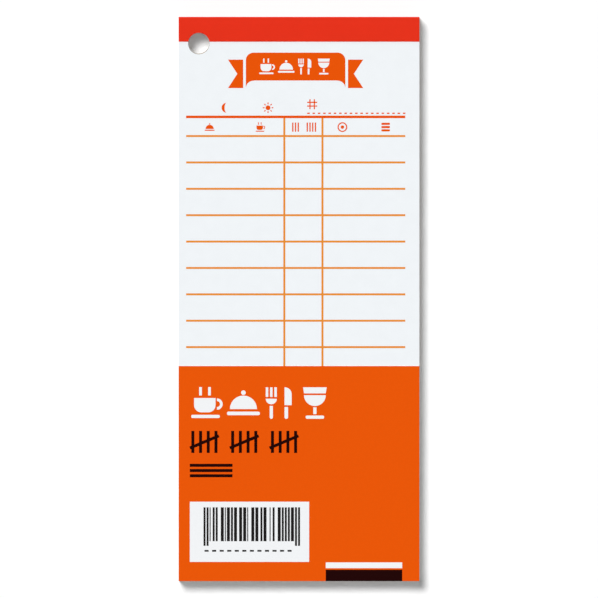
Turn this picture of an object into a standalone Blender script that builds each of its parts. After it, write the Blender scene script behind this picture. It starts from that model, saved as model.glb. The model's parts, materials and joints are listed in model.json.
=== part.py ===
"""Guest check pad: printed checks on a chipboard back, glued at the head, bound with tape and punched to hang.

Metres, +Z up. The pad lies face up on its back with +Y towards the bound head, and the origin is the
middle of its footprint on the table.
"""

import math

import bmesh
import bpy
from mathutils import Matrix, Vector

MM = 0.001

# Driving dimensions: the stack
PAD_WIDTH = 75.0 * MM
SHEET_LENGTH = 175.2 * MM
CHECK_THICKNESS = 0.08 * MM
LOOSE_CHECKS = 20
BLOCK_CHECKS = 80
BOARD_THICKNESS = 0.7 * MM
COVER_THICKNESS = 0.10 * MM
SLIP_LENGTH = 67.0 * MM
SLIP_THICKNESS = 0.10 * MM
AIR_GAP = 0.03 * MM
FOLD_GAP = 0.3 * MM

# Driving dimensions: the binding at the head
GLUE_THICKNESS = 0.3 * MM
GLUE_EDGE_RADIUS = 0.2 * MM
TAPE_THICKNESS = 0.18 * MM
TAPE_FRONT_REACH = 7.7 * MM
TAPE_BACK_REACH = 7.7 * MM
BEND_SEGMENTS = 4

# Driving dimensions: the punched hanging hole
HOLE_DIAMETER = 6.7 * MM
HOLE_FROM_SIDE = 6.3 * MM
HOLE_FROM_HEAD = 8.3 * MM
HOLE_SIDES = 32
PUNCH_OVERRUN = 5.0 * MM

# Lengthwise places: the foot of the pad to the outside of the tape
PAD_LENGTH = SHEET_LENGTH + GLUE_THICKNESS + TAPE_THICKNESS + 2 * AIR_GAP
FOOT_Y = -PAD_LENGTH / 2
HEAD_Y = PAD_LENGTH / 2
SHEET_HEAD_Y = FOOT_Y + SHEET_LENGTH
GLUE_FOOT_Y = SHEET_HEAD_Y + AIR_GAP
TAPE_INNER_Y = GLUE_FOOT_Y + GLUE_THICKNESS + AIR_GAP
FOLD_Y = HEAD_Y - TAPE_FRONT_REACH
LEAF_HEAD_Y = FOLD_Y - FOLD_GAP

# Heights: each layer rests on the one below it
CHECK_PITCH = CHECK_THICKNESS + AIR_GAP
BOARD_Z = TAPE_THICKNESS + AIR_GAP
BLOCK_Z = BOARD_Z + BOARD_THICKNESS + AIR_GAP
BLOCK_THICKNESS = BLOCK_CHECKS * CHECK_THICKNESS
LOOSE_Z = BLOCK_Z + BLOCK_THICKNESS + AIR_GAP
COVER_Z = LOOSE_Z + LOOSE_CHECKS * CHECK_PITCH
COVER_TOP_Z = COVER_Z + COVER_THICKNESS
SLIP_Z = COVER_TOP_Z + AIR_GAP
TAPE_FRONT_Z = COVER_TOP_Z + AIR_GAP
PAD_TOP_Z = TAPE_FRONT_Z + TAPE_THICKNESS

# The cover folds back at the tape's edge, half way up the step that the tape makes
HINGE = Vector((0.0, FOLD_Y, (COVER_TOP_Z + PAD_TOP_Z) / 2))
HOLE_CENTRE = Vector((HOLE_FROM_SIDE - PAD_WIDTH / 2, HEAD_Y - HOLE_FROM_HEAD, PAD_TOP_Z / 2))

# Colours as seen on screen, 0 to 255, and roughness
FINISHES = {
    "chipboard": ((172, 163, 150), 0.95),
    "check_paper": ((240, 243, 246), 0.80),
    "cover_paper": ((240, 243, 246), 0.75),
    "slip_paper": ((234, 88, 5), 0.60),
    "tape_cloth": ((229, 52, 30), 0.65),
    "padding_compound": ((233, 228, 216), 0.45),
}


def linear(level):
    """One screen colour level, 0 to 255, as the linear value that a shader takes."""
    share = level / 255
    if share <= 0.04045:
        return share / 12.92
    return ((share + 0.055) / 1.055) ** 2.4


def clear_scene():
    for obj in list(bpy.data.objects):
        bpy.data.objects.remove(obj, do_unlink=True)


def add_collection(name):
    collection = bpy.data.collections.new(name)
    bpy.context.scene.collection.children.link(collection)
    return collection


def make_materials():
    materials = {}
    for name, (colour, roughness) in FINISHES.items():
        material = bpy.data.materials.new(name)
        material.use_nodes = True
        shader = material.node_tree.nodes["Principled BSDF"]
        rgba = [linear(level) for level in colour] + [1.0]
        shader.inputs["Base Color"].default_value = rgba
        shader.inputs["Roughness"].default_value = roughness
        shader.inputs["Metallic"].default_value = 0.0
        material.diffuse_color = rgba
        materials[name] = material
    return materials


def add_empty(name, location, parts):
    empty = bpy.data.objects.new(name, None)
    empty.location = location
    empty.empty_display_size = HOLE_DIAMETER
    parts.objects.link(empty)
    return empty


def add_piece(name, mesh, location, parent, parts):
    """An object for a sub-part, at a place given in the pad's own frame."""
    piece = bpy.data.objects.new(name, mesh)
    piece.parent = parent
    piece.location = Vector(location) - parent.location
    parts.objects.link(piece)
    return piece


def finished_mesh(name, shape, material):
    mesh = bpy.data.meshes.new(name)
    shape.to_mesh(mesh)
    shape.free()
    mesh.materials.append(material)
    return mesh


def sheet_mesh(name, length, thickness, material):
    """A sheet cut to the pad's width, with its origin at the middle of its head edge, on its underside."""
    shape = bmesh.new()
    bmesh.ops.create_cube(shape, size=1.0)
    bmesh.ops.scale(shape, vec=(PAD_WIDTH, length, thickness), verts=shape.verts)
    bmesh.ops.translate(shape, vec=(0.0, -length / 2, thickness / 2), verts=shape.verts)
    return finished_mesh(name, shape, material)


def glue_mesh(name, material):
    """The padding compound brushed over the sheets' head edges: a skin with its two long outer edges rounded."""
    height = COVER_TOP_Z - BOARD_Z
    shape = bmesh.new()
    bmesh.ops.create_cube(shape, size=1.0)
    bmesh.ops.scale(shape, vec=(PAD_WIDTH, GLUE_THICKNESS, height), verts=shape.verts)
    bmesh.ops.translate(shape, vec=(0.0, GLUE_THICKNESS / 2, height / 2), verts=shape.verts)
    outer = [
        edge
        for edge in shape.edges
        if all(vert.co.y > GLUE_THICKNESS / 2 for vert in edge.verts)
        and abs(edge.verts[0].co.x - edge.verts[1].co.x) > PAD_WIDTH / 2
    ]
    bmesh.ops.bevel(
        shape,
        geom=outer,
        offset=GLUE_EDGE_RADIUS,
        segments=BEND_SEGMENTS,
        profile=0.5,
        affect="EDGES",
        clamp_overlap=True,
    )
    return finished_mesh(name, shape, material)


def bend_points(centre, radius, start_angle):
    """A quarter turn clockwise in the YZ plane, from start_angle, as the tape goes round a head edge."""
    points = []
    for step in range(BEND_SEGMENTS + 1):
        angle = start_angle - math.pi / 2 * step / BEND_SEGMENTS
        points.append(centre + radius * Vector((0.0, math.cos(angle), math.sin(angle))))
    return points


def tape_mesh(name, material):
    """The tape's inner face as an open strip: up the front, over the head and down the back."""
    bend_radius = GLUE_EDGE_RADIUS + AIR_GAP
    front_z = TAPE_FRONT_Z
    back_z = TAPE_THICKNESS
    bend_y = TAPE_INNER_Y - bend_radius
    section = [Vector((0.0, HEAD_Y - TAPE_FRONT_REACH, front_z))]
    section += bend_points(Vector((0.0, bend_y, front_z - bend_radius)), bend_radius, math.pi / 2)
    section += bend_points(Vector((0.0, bend_y, back_z + bend_radius)), bend_radius, 0.0)
    section.append(Vector((0.0, HEAD_Y - TAPE_BACK_REACH, back_z)))
    shape = bmesh.new()
    verts = [shape.verts.new(point - Vector((PAD_WIDTH / 2, 0.0, 0.0))) for point in section]
    edges = [shape.edges.new(pair) for pair in zip(verts, verts[1:])]
    strip = bmesh.ops.extrude_edge_only(shape, edges=edges)
    far_side = [item for item in strip["geom"] if isinstance(item, bmesh.types.BMVert)]
    bmesh.ops.translate(shape, vec=(PAD_WIDTH, 0.0, 0.0), verts=far_side)
    bmesh.ops.recalc_face_normals(shape, faces=shape.faces)
    shape.faces.ensure_lookup_table()
    front_leg = max(shape.faces, key=lambda face: face.calc_center_median().z)
    if front_leg.normal.z < 0:
        bmesh.ops.reverse_faces(shape, faces=shape.faces)
    return finished_mesh(name, shape, material)


def make_punch(cutters):
    """The punch that goes through the bound pad, from above the tape to below its back."""
    shape = bmesh.new()
    bmesh.ops.create_cone(
        shape,
        cap_ends=True,
        segments=HOLE_SIDES,
        radius1=HOLE_DIAMETER / 2,
        radius2=HOLE_DIAMETER / 2,
        depth=PAD_TOP_Z + 2 * PUNCH_OVERRUN,
        matrix=Matrix.Rotation(math.pi / HOLE_SIDES, 4, "Z"),
    )
    mesh = bpy.data.meshes.new("hole_punch")
    shape.to_mesh(mesh)
    shape.free()
    punch = bpy.data.objects.new("hole_punch", mesh)
    punch.location = HOLE_CENTRE
    punch.hide_render = True
    punch.display_type = "WIRE"
    cutters.objects.link(punch)
    return punch


def punch_through(piece, punch):
    cut = piece.modifiers.new("hanging hole", "BOOLEAN")
    cut.operation = "DIFFERENCE"
    cut.object = punch
    cut.solver = "EXACT"


def make_board(materials, root, parts):
    mesh = sheet_mesh("backing_board", SHEET_LENGTH, BOARD_THICKNESS, materials["chipboard"])
    return add_piece("backing_board", mesh, (0.0, SHEET_HEAD_Y, BOARD_Z), root, parts)


def make_sheet_block(materials, root, parts):
    """The lower checks of the pad, which stay together until the upper ones are used."""
    mesh = sheet_mesh("sheet_block", SHEET_LENGTH, BLOCK_THICKNESS, materials["check_paper"])
    return add_piece("sheet_block", mesh, (0.0, SHEET_HEAD_Y, BLOCK_Z), root, parts)


def make_loose_checks(materials, root, parts):
    """The upper checks, one object each, numbered from the top of the pad down."""
    mesh = sheet_mesh("check", SHEET_LENGTH, CHECK_THICKNESS, materials["check_paper"])
    checks = []
    for number in range(1, LOOSE_CHECKS + 1):
        height = LOOSE_Z + (LOOSE_CHECKS - number) * CHECK_PITCH
        place = (0.0, SHEET_HEAD_Y, height)
        checks.append(add_piece(f"check_{number:02d}", mesh, place, root, parts))
    return checks


def make_cover(materials, root, hinge, parts):
    """The cover sheet in two lengths that meet at its fold: the bound head strip and the leaf that turns."""
    paper = materials["cover_paper"]
    head = sheet_mesh("cover_head", SHEET_HEAD_Y - FOLD_Y, COVER_THICKNESS, paper)
    leaf = sheet_mesh("cover_leaf", LEAF_HEAD_Y - FOOT_Y, COVER_THICKNESS, paper)
    return [
        add_piece("cover_head", head, (0.0, SHEET_HEAD_Y, COVER_Z), root, parts),
        add_piece("cover_leaf", leaf, (0.0, LEAF_HEAD_Y, COVER_Z), hinge, parts),
    ]


def make_title_slip(materials, hinge, parts):
    """The coloured paper pasted across the cover's lower part."""
    mesh = sheet_mesh("title_slip", SLIP_LENGTH, SLIP_THICKNESS, materials["slip_paper"])
    return add_piece("title_slip", mesh, (0.0, FOOT_Y + SLIP_LENGTH, SLIP_Z), hinge, parts)


def make_glue(materials, root, parts):
    mesh = glue_mesh("padding_glue", materials["padding_compound"])
    return add_piece("padding_glue", mesh, (0.0, GLUE_FOOT_Y, BOARD_Z), root, parts)


def make_tape(materials, root, parts):
    mesh = tape_mesh("binding_tape", materials["tape_cloth"])
    tape = add_piece("binding_tape", mesh, (0.0, 0.0, 0.0), root, parts)
    wall = tape.modifiers.new("tape thickness", "SOLIDIFY")
    wall.thickness = TAPE_THICKNESS
    wall.offset = 1.0
    wall.use_even_offset = True
    return tape


def main():
    clear_scene()
    parts = add_collection("guest_check_pad")
    cutters = add_collection("cutters")
    materials = make_materials()
    root = add_empty("pad_origin", (0.0, 0.0, 0.0), parts)
    hinge = add_empty("cover_hinge", HINGE, parts)
    punched = [make_board(materials, root, parts), make_sheet_block(materials, root, parts)]
    punched += make_loose_checks(materials, root, parts)
    punched += make_cover(materials, root, hinge, parts)
    punched += [make_title_slip(materials, hinge, parts), make_tape(materials, root, parts)]
    make_glue(materials, root, parts)
    punch = make_punch(cutters)
    for piece in punched:
        punch_through(piece, punch)


main()
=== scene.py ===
"""Looks of the guest check pad: its paper, print, tape and board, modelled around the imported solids.

Metres, +Z up, +Y towards the bound head. Printed places are measured across from the pad's left edge
and down from the outside of its head, as on the flat sheet.
"""

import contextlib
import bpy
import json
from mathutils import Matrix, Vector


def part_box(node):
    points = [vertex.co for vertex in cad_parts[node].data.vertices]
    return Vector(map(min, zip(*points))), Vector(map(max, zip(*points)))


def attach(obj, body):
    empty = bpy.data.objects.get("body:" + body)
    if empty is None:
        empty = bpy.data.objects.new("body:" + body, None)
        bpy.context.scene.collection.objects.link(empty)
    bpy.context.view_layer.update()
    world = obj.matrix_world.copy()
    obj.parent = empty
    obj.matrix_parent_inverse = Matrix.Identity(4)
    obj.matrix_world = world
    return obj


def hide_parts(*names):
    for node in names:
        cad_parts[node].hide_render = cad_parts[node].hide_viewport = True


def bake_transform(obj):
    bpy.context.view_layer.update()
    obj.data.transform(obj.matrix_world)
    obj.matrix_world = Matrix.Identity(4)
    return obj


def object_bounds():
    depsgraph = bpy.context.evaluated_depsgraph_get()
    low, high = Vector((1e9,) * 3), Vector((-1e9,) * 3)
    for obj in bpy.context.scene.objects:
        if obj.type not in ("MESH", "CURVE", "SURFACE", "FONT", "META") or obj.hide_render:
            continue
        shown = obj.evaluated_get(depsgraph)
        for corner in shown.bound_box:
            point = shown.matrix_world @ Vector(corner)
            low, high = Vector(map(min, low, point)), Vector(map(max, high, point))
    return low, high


bl_info = {
    "name": "Guest Check Pad",
    "version": (1, 0, 0),
    "blender": (4, 5, 0),
    "location": "View3D > Sidebar > Check Pad",
    "description": "Dresses a bound pad of guest checks in paper, print, tape and chipboard",
    "category": "Object",
}

import copy
import json
import math
import random

import bmesh
import bpy
from bpy.props import FloatProperty, FloatVectorProperty, IntProperty, PointerProperty
from mathutils import Matrix, Vector

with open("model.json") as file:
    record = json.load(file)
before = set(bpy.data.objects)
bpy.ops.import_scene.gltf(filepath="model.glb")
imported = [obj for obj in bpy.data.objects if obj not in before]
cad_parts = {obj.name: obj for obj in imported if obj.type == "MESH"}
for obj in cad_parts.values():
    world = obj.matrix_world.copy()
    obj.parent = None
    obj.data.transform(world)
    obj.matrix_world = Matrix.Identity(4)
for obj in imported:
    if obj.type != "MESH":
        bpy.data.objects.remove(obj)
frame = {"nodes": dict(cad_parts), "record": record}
CAD_LOW, CAD_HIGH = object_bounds()

MM = 0.001

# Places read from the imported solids
CHECK_NODES = sorted(name for name in frame["nodes"] if name.startswith("check_"))
PRINT_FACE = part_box(CHECK_NODES[0])[1].z
COVER_LOW, COVER_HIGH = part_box("cover_leaf")
COVER_HEAD_LOW, COVER_HEAD_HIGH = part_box("cover_head")
FOLD_Y = COVER_HEAD_LOW.y
HOLE_BOX = [Vector(corner) for corner in frame["record"]["physics"]["openings"][0]["box_m"]]
HOLE_CENTRE = (HOLE_BOX[0] + HOLE_BOX[1]) / 2

# Modelling steps
HOLE_SIDES = 64
PUNCH_REACH = 60.0 * MM
BEND_STEPS = 8
ARC_STEPS = 8
DISC_SIDES = 24
FOLD_CUTS = 18
FLICK_PERCENT = 98.0
FLICK_PROFILE = 0.09
ROUND_PROFILE = 0.5
SMOOTH_ANGLE = math.radians(30)
BOARD_EDGE_STEPS = 2
MERGE = 0.0001 * MM
FACE_SLOPE = 0.5
STACK_SEED = 11

# Marks on the title slip, with the widths of bars and gaps in bar units
LABEL_SEED = 29
BAR_UNITS = (1, 1, 2, 3)
TALLY_STROKES = 4

# Fields of the map for baking
BAKE_MAP = "OFBake"
MAP_GAP = 1.5 * MM
SHEET_STRIP = 3.0 * MM
BLOCK_STRIP = 21.0 * MM
FULL_BACK = 1.0
HIDDEN_BACK = 0.05
INK_FIELD = 8.0 * MM
INK_WALL = 0.1
SHEET_FINISHES = 2
CUT_EDGES = 4

# Axes, and the two of a flat face
X, Y, Z = 0, 1, 2
FLAT = (X, Y)

# Sockets of a Mix node that carry colours
MIX_FIRST, MIX_SECOND, MIX_RESULT = 6, 7, 2

# White, and how far the horizon fades, as a share of straight up
WHITE = (1.0, 1.0, 1.0, 1.0)
HORIZON = 0.01

# Directions on the sheet
LEFT = Vector((-1.0, 0.0, 0.0))
RIGHT = Vector((1.0, 0.0, 0.0))
UP = Vector((0.0, 1.0, 0.0))
DOWN = Vector((0.0, -1.0, 0.0))


def screen(red, green, blue):
    """A colour as it looks on screen, 0 to 255, in the linear values that a shader takes."""
    shares = [level / 255 for level in (red, green, blue)]
    return tuple(s / 12.92 if s <= 0.04045 else ((s + 0.055) / 1.055) ** 2.4 for s in shares)


def length(name, description, millimetres):
    return FloatProperty(
        name=name, description=description, default=millimetres * MM, unit="LENGTH", precision=5
    )


def angle(name, description, degrees):
    return FloatProperty(name=name, description=description, default=math.radians(degrees), subtype="ANGLE")


def share(name, description, default):
    return FloatProperty(
        name=name, description=description, default=default, subtype="FACTOR", min=0.0, max=1.0
    )


def count(name, description, default):
    return IntProperty(name=name, description=description, default=default, min=1)


def number(name, description, default):
    return FloatProperty(name=name, description=description, default=default)


def colour(name, description, red, green, blue):
    linear = screen(red, green, blue)
    return FloatVectorProperty(
        name=name, description=description, default=linear, subtype="COLOR", min=0.0, max=1.0
    )


class CHECKPAD_PG_colours(bpy.types.PropertyGroup):
    """Colours of the paper, print and binding"""

    paper: colour("Paper", "Check and cover paper", 243, 247, 250)
    edges: colour("Edges", "Cut edges of the sheets", 247, 245, 240)
    form_ink: colour("Form ink", "Heavy rules, ribbon and heading marks of the form", 234, 84, 2)
    rule_ink: colour("Rule ink", "Light rules of the form, printed paler", 234, 143, 50)
    slip: colour("Slip", "Solid colour printed on the title slip", 235, 87, 2)
    slip_white: colour("Slip white", "Pale marks on the ribbon and the title slip", 244, 246, 248)
    slip_dark: colour("Slip dark", "Dark marks on the title slip", 28, 0, 0)
    label_black: colour("Label black", "Bars of the label on the title slip", 26, 24, 24)
    tape: colour("Tape", "Binding tape", 231, 49, 25)
    board: colour("Board", "Chipboard back", 172, 163, 150)
    glue: colour("Glue", "Padding compound at the head", 233, 228, 216)
    floor: colour("Floor", "Studio floor", 243, 243, 243)


class CHECKPAD_PG_paper(bpy.types.PropertyGroup):
    """Sizes of the sheets and of the binding"""

    hole: length("Hole", "Diameter of the hanging hole", 6.7)
    tape: length("Tape", "Thickness of the binding tape", 0.18)
    tape_bend: length("Tape bend", "Inner radius of the tape where it turns over the head", 0.23)
    thread: length("Thread", "Distance from one thread of the tape's weave to the next", 0.34)
    board_edge: length("Board edge", "Rounding of the board's cut edges", 0.06)
    # The board's hole is set out of line so that a thin crescent of dark board shows at the hole's lower
    # right: a dark part put there as painted shade, standing in for the shade on the hole's wall.
    board_up: length("Board up", "How far the board's hole lies out of line towards the head", 0.34)
    board_left: length("Board left", "How far the board's hole lies out of line to the left", 0.11)
    block_sheets: count("Block sheets", "Checks in the lower block", 80)
    air: share("Air", "Share of the block's height that is air between its sheets", 0.25)
    stray: length("Stray", "How far a sheet may lie out of line in the stack", 0.03)
    fold: length("Fold", "Length of cover that bends when it is turned back", 3.4)
    ink: length("Ink", "Height of a layer of ink", 0.010)
    ink_sink: length("Ink sink", "How far ink soaks into what it is printed on", 0.002)


class CHECKPAD_PG_form(bpy.types.PropertyGroup):
    """Sizes of the printed form"""

    left: length("Left", "Left end of the rules", 2.34)
    right: length("Right", "Right end of the rules", 70.60)
    heavy_down: length("Heavy rule", "Middle of the heavy rule over the table", 31.15)
    heavy_width: length("Heavy rule width", "Width of the heavy rules", 0.80)
    first_row: length("First row", "Middle of the first light rule", 37.12)
    row_pitch: length("Row pitch", "Distance from one light rule to the next", 8.217)
    light_width: length("Light rule width", "Width of the light rules", 0.62)
    rows: count("Rows", "Rows from the first light rule to the total", 15)
    first_column: length("First column", "Middle of the first upright rule", 32.93)
    second_column: length("Second column", "Middle of the second upright rule", 44.81)
    column_width: length("Column rule width", "Width of the upright rules", 0.63)
    dots_left: length("Dots left", "Left end of the dotted line", 40.04)
    dots_down: length("Dots down", "Middle of the dotted line", 30.03)
    dot_long: length("Dot length", "Length of one dot", 0.80)
    dot_high: length("Dot height", "Height of one dot", 0.42)
    dot_pitch: length("Dot pitch", "Distance from one dot to the next", 1.656)
    dots: count("Dots", "Dots in the dotted line", 19)
    mark: length("Mark", "Size of a heading mark", 3.4)
    upper_marks: length("Upper marks", "Middle of the marks over the heavy rule", 28.30)
    lower_marks: length("Lower marks", "Middle of the marks under the heavy rule", 34.33)
    moon: length("Moon", "Middle of the moon mark", 14.69)
    sun: length("Sun", "Middle of the sun mark", 27.85)
    number: length("Number", "Middle of the number mark", 41.60)
    number_down: length("Number down", "Middle of the number mark, down the sheet", 27.20)
    dish: length("Dish", "Middle of the dish mark", 9.67)
    cup: length("Cup", "Middle of the cup mark", 25.54)
    few: length("Few", "Middle of the mark with three strokes", 36.42)
    many: length("Many", "Middle of the mark with four strokes", 41.35)
    coin: length("Coin", "Middle of the coin mark", 51.02)
    coins: length("Coins", "Middle of the mark with stacked coins", 64.49)


class CHECKPAD_PG_ribbon(bpy.types.PropertyGroup):
    """Sizes of the printed ribbon"""

    middle: length("Middle", "Middle of the ribbon across the sheet", 36.44)
    banner_width: length("Banner width", "Width of the banner", 30.99)
    banner_top: length("Banner top", "Top of the banner", 11.13)
    banner_height: length("Banner height", "Height of the banner's middle", 8.69)
    corner: length("Corner", "Rounding of the banner's upper corners", 2.40)
    flick_width: length("Flick width", "Width of the banner's turned-down corners", 2.50)
    flick_drop: length("Flick drop", "Drop of the banner's turned-down corners", 2.10)
    tail_gap: length("Tail gap", "Gap between the banner and a tail", 0.83)
    tail_width: length("Tail width", "Width of a tail", 4.73)
    tail_top: length("Tail top", "Top of the tails", 13.31)
    tail_height: length("Tail height", "Height of the tails", 8.86)
    notch: length("Notch", "Depth of the notch in a tail", 2.90)
    icon: length("Icon", "Size of an icon on the banner", 5.60)
    icon_pitch: length("Icon pitch", "Distance from one icon to the next", 5.85)


class CHECKPAD_PG_slip(bpy.types.PropertyGroup):
    """Sizes of the print on the title slip"""

    margin: length("Margin", "Left end of the marks", 3.49)
    title_down: length("Title", "Middle of the row of icons", 120.27)
    title_icon: length("Title icon", "Size of an icon in the title row", 11.13)
    tally_top: length("Tally top", "Top of the tally strokes", 128.95)
    tally_height: length("Tally height", "Height of the tally strokes", 6.86)
    tally_stroke: length("Tally stroke", "Width of a tally stroke", 0.95)
    tally_pitch: length("Tally pitch", "Distance from one stroke to the next", 2.40)
    tally_group: length("Tally group", "Distance from one group of strokes to the next", 12.40)
    tally_groups: count("Tally groups", "Groups of four strokes and a slash", 3)
    lines_top: length("Lines top", "Top of the short lines", 139.20)
    line_width: length("Line width", "Thickness of a short line", 0.95)
    line_pitch: length("Line pitch", "Distance from one short line to the next", 1.62)
    line_length: length("Line length", "Length of a short line", 13.30)
    lines: count("Lines", "Short lines", 3)
    label_right: length("Label right", "Right edge of the label", 40.66)
    label_top: length("Label top", "Top of the label", 151.00)
    label_bottom: length("Label bottom", "Bottom of the label", 169.75)
    bars_left: length("Bars left", "Left end of the label's bars", 7.76)
    bars_right: length("Bars right", "Right end of the label's bars", 37.83)
    bars_top: length("Bars top", "Top of the label's bars", 152.75)
    bars_bottom: length("Bars bottom", "Bottom of the label's bars", 163.32)
    guard_bottom: length("Guard bottom", "Bottom of the longer bars at both ends", 164.75)
    bar_unit: length("Bar unit", "Width of the thinnest bar", 0.3165)
    ticks_down: length("Ticks", "Middle of the ticks under the bars", 166.30)
    tick_long: length("Tick length", "Length of a tick", 1.30)
    tick_high: length("Tick height", "Height of a tick", 0.55)
    tick_pitch: length("Tick pitch", "Distance from one tick to the next", 2.35)
    ticks: count("Ticks", "Ticks under the bars", 12)
    stripe_left: length("Stripe left", "Left end of the stripes at the foot", 45.83)
    stripe_right: length("Stripe right", "Right end of the stripes at the foot", 69.64)
    pale_top: length("Pale stripe top", "Top of the pale stripe", 169.90)
    pale_bottom: length("Pale stripe bottom", "Bottom of the pale stripe", 171.70)
    dark_top: length("Dark stripe top", "Top of the dark stripe, which runs off the foot", 172.20)


class CHECKPAD_PG_stage(bpy.types.PropertyGroup):
    """Floor, light and camera"""

    floor_side: length("Floor", "Side of the floor", 12000.0)
    floor_drop: length("Floor drop", "Gap between the pad and the floor", 0.02)
    frame_width: length("Frame width", "Width of the picture at the pad's face", 186.25)
    camera_height: length("Camera height", "Height of the camera over the floor", 6000.0)
    sensor: number("Sensor", "Width of the camera's sensor in millimetres", 36.0)
    key: number("Key", "Strength of the key light", 2.85)
    key_tilt: angle("Key tilt", "Key light's lean from overhead, towards the upper left", 20.75)
    key_turn: angle("Key turn", "Key light's place round the pad, from its left edge", 55.0)
    key_size: angle("Key size", "Angle that the key light fills", 17.5)
    ambient: number("Ambient", "Strength of the light from all round", 0.06)
    glow: number("Glow", "Strength that the horizon adds all round", 1.20)
    glow_top: share("Glow top", "Height at which the horizon's glow ends, as a share of straight up", 0.45)
    under: number("Under", "Strength of the light from below", 0.95)
    floor_lift: number("Floor lift", "White that the picture adds to the floor", 0.145)
    floor_clear: length("Floor clear", "Distance within which a face gets its light through the floor", 1.0)


class CHECKPAD_PG_settings(bpy.types.PropertyGroup):
    """All settings of the pad"""

    colours: PointerProperty(type=CHECKPAD_PG_colours)
    paper: PointerProperty(type=CHECKPAD_PG_paper)
    form: PointerProperty(type=CHECKPAD_PG_form)
    ribbon: PointerProperty(type=CHECKPAD_PG_ribbon)
    slip: PointerProperty(type=CHECKPAD_PG_slip)
    stage: PointerProperty(type=CHECKPAD_PG_stage)


# Finishes

FINISHES = {}


class Wire:
    """A shader socket that can stand in a sum: each operator adds the Math node that works it out."""

    def __init__(self, finish, socket):
        self.finish = finish
        self.socket = socket

    def sum(self, operation, first, second):
        return self.finish.node("ShaderNodeMath", {"operation": operation}, {0: first, 1: second})

    def __add__(self, other):
        return self.sum("ADD", self, other)

    def __radd__(self, other):
        return self.sum("ADD", other, self)

    def __sub__(self, other):
        return self.sum("SUBTRACT", self, other)

    def __rsub__(self, other):
        return self.sum("SUBTRACT", other, self)

    def __mul__(self, other):
        return self.sum("MULTIPLY", self, other)

    def __rmul__(self, other):
        return self.sum("MULTIPLY", other, self)

    def __lt__(self, other):
        return self.sum("LESS_THAN", self, other)


class Finish:
    """The nodes of a material or a world, with one method that adds a node, sets it and links it."""

    def __init__(self, owner):
        owner.use_nodes = True
        self.owner = owner
        self.tree = owner.node_tree
        self.tree.nodes.clear()

    def node(self, kind, settings=None, sockets=None, output=0):
        made = self.tree.nodes.new(kind)
        for key, value in (settings or {}).items():
            setattr(made, key, value)
        for key, value in (sockets or {}).items():
            if isinstance(value, Wire):
                self.tree.links.new(value.socket, made.inputs[key])
            else:
                made.inputs[key].default_value = value
        return Wire(self, made.outputs[output]) if len(made.outputs) else made

    def place(self):
        return self.node("ShaderNodeTexCoord", output="Object")

    def axis(self, letter):
        return self.node("ShaderNodeSeparateXYZ", sockets={"Vector": self.place()}, output=letter)

    def noise(self, grain, stretch=(1.0, 1.0, 1.0), detail=3.0, roughness=0.55):
        """Noise with grains about this many metres across, drawn out along an axis by stretch."""
        scale = tuple(1.0 / (grain * drawn) for drawn in stretch)
        spread = self.node("ShaderNodeVectorMath", {"operation": "MULTIPLY"}, {0: self.place(), 1: scale})
        sockets = {"Vector": spread, "Scale": 1.0, "Detail": detail, "Roughness": roughness}
        return self.node("ShaderNodeTexNoise", sockets=sockets)

    def sine(self, value):
        return self.node("ShaderNodeMath", {"operation": "SINE"}, {0: value})

    def fade(self, value, low, high):
        """0 below low, 1 above high, with a smooth rise between them."""
        sockets = {"Value": value, "From Min": low, "From Max": high}
        return self.node("ShaderNodeMapRange", {"interpolation_type": "SMOOTHSTEP"}, sockets)

    def mix(self, factor, first, second):
        sockets = {0: factor, MIX_FIRST: first, MIX_SECOND: second}
        return self.node("ShaderNodeMix", {"data_type": "RGBA"}, sockets, output=MIX_RESULT)

    def shades(self, factor, linear, dark, light):
        """A colour that varies from a darker level of itself to a lighter one."""
        return self.mix(factor, tone(linear, dark), tone(linear, light))

    def bump(self, height, depth, strength):
        sockets = {"Height": height, "Distance": depth, "Strength": strength}
        return self.node("ShaderNodeBump", sockets=sockets)

    def ray(self, output):
        return self.node("ShaderNodeLightPath", output=output)

    def seen(self):
        """1 for what the picture shows, directly or in gloss and glass, and 0 for what lights the pad."""
        return self.ray("Is Camera Ray") + self.ray("Is Glossy Ray") + self.ray("Is Transmission Ray")

    def surface(self, base, roughness, normal, specular):
        """Ends the material in a Principled surface."""
        sockets = {
            "Base Color": base,
            "Roughness": roughness,
            "Normal": normal,
            "Specular IOR Level": specular,
        }
        shader = self.node("ShaderNodeBsdfPrincipled", sockets=sockets)
        self.node("ShaderNodeOutputMaterial", sockets={"Surface": shader})
        return self.owner


def tone(linear, level=1.0):
    """A colour lightened or darkened by a level, with its alpha."""
    return tuple(min(1.0, value * level) for value in linear) + (1.0,)


def material(name, make, *details):
    """The finish of that name, made the first time it is asked for."""
    if name not in FINISHES:
        FINISHES[name] = make(Finish(bpy.data.materials.new(name)), *details)
    return FINISHES[name]


def paper_finish(finish, linear):
    """Uncoated writing paper: fine fibres in a faintly cloudy sheet."""
    fibres = finish.noise(0.22 * MM, stretch=(1.0, 2.2, 1.0), detail=4.0, roughness=0.65)
    clouds = finish.noise(4.5 * MM, detail=2.0)
    base = finish.shades(fibres * 0.55 + clouds * 0.45, linear, dark=0.95, light=1.045)
    bump = finish.bump(fibres, depth=0.02 * MM, strength=0.4)
    return finish.surface(base, roughness=fibres * 0.14 + 0.78, normal=bump, specular=0.05)


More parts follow.
